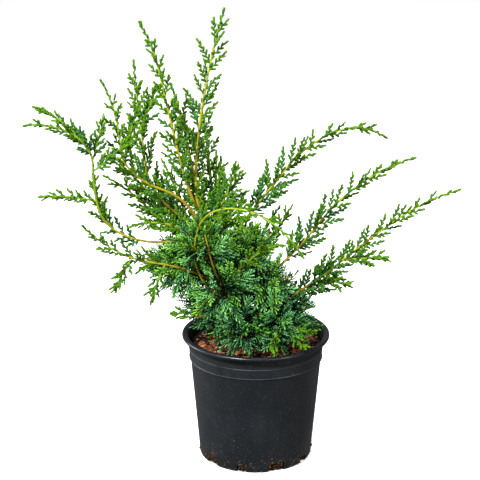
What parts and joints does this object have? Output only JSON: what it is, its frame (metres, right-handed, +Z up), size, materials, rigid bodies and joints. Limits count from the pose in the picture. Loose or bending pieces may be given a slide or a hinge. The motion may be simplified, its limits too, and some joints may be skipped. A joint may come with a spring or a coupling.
{
  "type": "potted juniper shrub",
  "caption": "Young Chinese juniper that leans to one side, with long feathery shoots over a dense low mound, in a round tapered nursery pot filled with bark mix",
  "frame": {"origin": "Centre of the pot's flat underside, on the surface it stands on", "axes": "+Z is up along the pot's axis. +X is to the right as seen in the picture, and +Y points away from the viewer. The shrub leans towards -X"},
  "size_m": [0.5347, 0.2651, 0.5915],
  "materials": {
    "pot": "charcoal moulded plastic with a faint blue-grey sheen, dusty low on the wall",
    "potting_mix": "moist reddish-brown bark chips",
    "trunk_bark": "rough orange-brown bark that peels in strips",
    "bough_bark": "thin young bark, yellow-green to orange-brown",
    "foliage": "matt scale leaves, yellow-green at the tips",
    "inner_foliage": "matt scale leaves, darker and bluer inside the shrub"
  },
  "bodies": {
    "root": {"pot": "pot", "potting_mix": "potting_mix", "trunk": "trunk_bark", "lower_right_arc_bough": "bough_bark", "middle_right_arc_bough": "bough_bark", "upper_right_arc_bough": "bough_bark", "front_arch_bough": "bough_bark", "low_left_bough": "bough_bark", "left_tuft_bough": "bough_bark", "left_fan_bough": "bough_bark", "left_loop_bough": "bough_bark", "left_back_fan_bough": "bough_bark", "curved_leader_bough": "bough_bark", "swan_neck_bough": "bough_bark", "left_leader_bough": "bough_bark", "back_left_shoot_bough": "bough_bark", "back_shoot_bough": "bough_bark", "back_right_shoot_bough": "bough_bark", "lower_right_arc_foliage": "foliage", "middle_right_arc_foliage": "foliage", "upper_right_arc_foliage": "foliage", "front_arch_foliage": "foliage", "low_left_foliage": "foliage", "left_tuft_foliage": "foliage", "left_fan_foliage": "foliage", "left_loop_foliage": "foliage", "loop_tips_foliage": "foliage", "left_back_fan_foliage": "foliage", "curved_leader_foliage": "foliage", "swan_neck_foliage": "foliage", "left_leader_foliage": "foliage", "middle_leader_foliage": "foliage", "tall_leader_foliage": "foliage", "short_right_plume_foliage": "foliage", "front_right_shoot_foliage": "foliage", "right_back_shoot_foliage": "foliage", "back_left_shoot_foliage": "foliage", "back_shoot_foliage": "foliage", "back_right_shoot_foliage": "foliage", "back_leader_foliage": "foliage", "front_left_shoot_foliage": "foliage", "mound_front_foliage": "inner_foliage", "mound_front_right_foliage": "inner_foliage", "mound_right_foliage": "inner_foliage", "mound_front_left_foliage": "inner_foliage", "mound_left_foliage": "inner_foliage", "mound_back_left_foliage": "inner_foliage", "mound_back_foliage": "inner_foliage", "mound_back_right_foliage": "inner_foliage", "upper_mound_front_foliage": "inner_foliage", "upper_mound_right_foliage": "inner_foliage", "upper_mound_left_foliage": "inner_foliage", "upper_mound_back_foliage": "inner_foliage", "left_mound_foliage": "inner_foliage", "inner_right_foliage": "inner_foliage", "inner_front_foliage": "inner_foliage"}
  },
  "joints": []
}
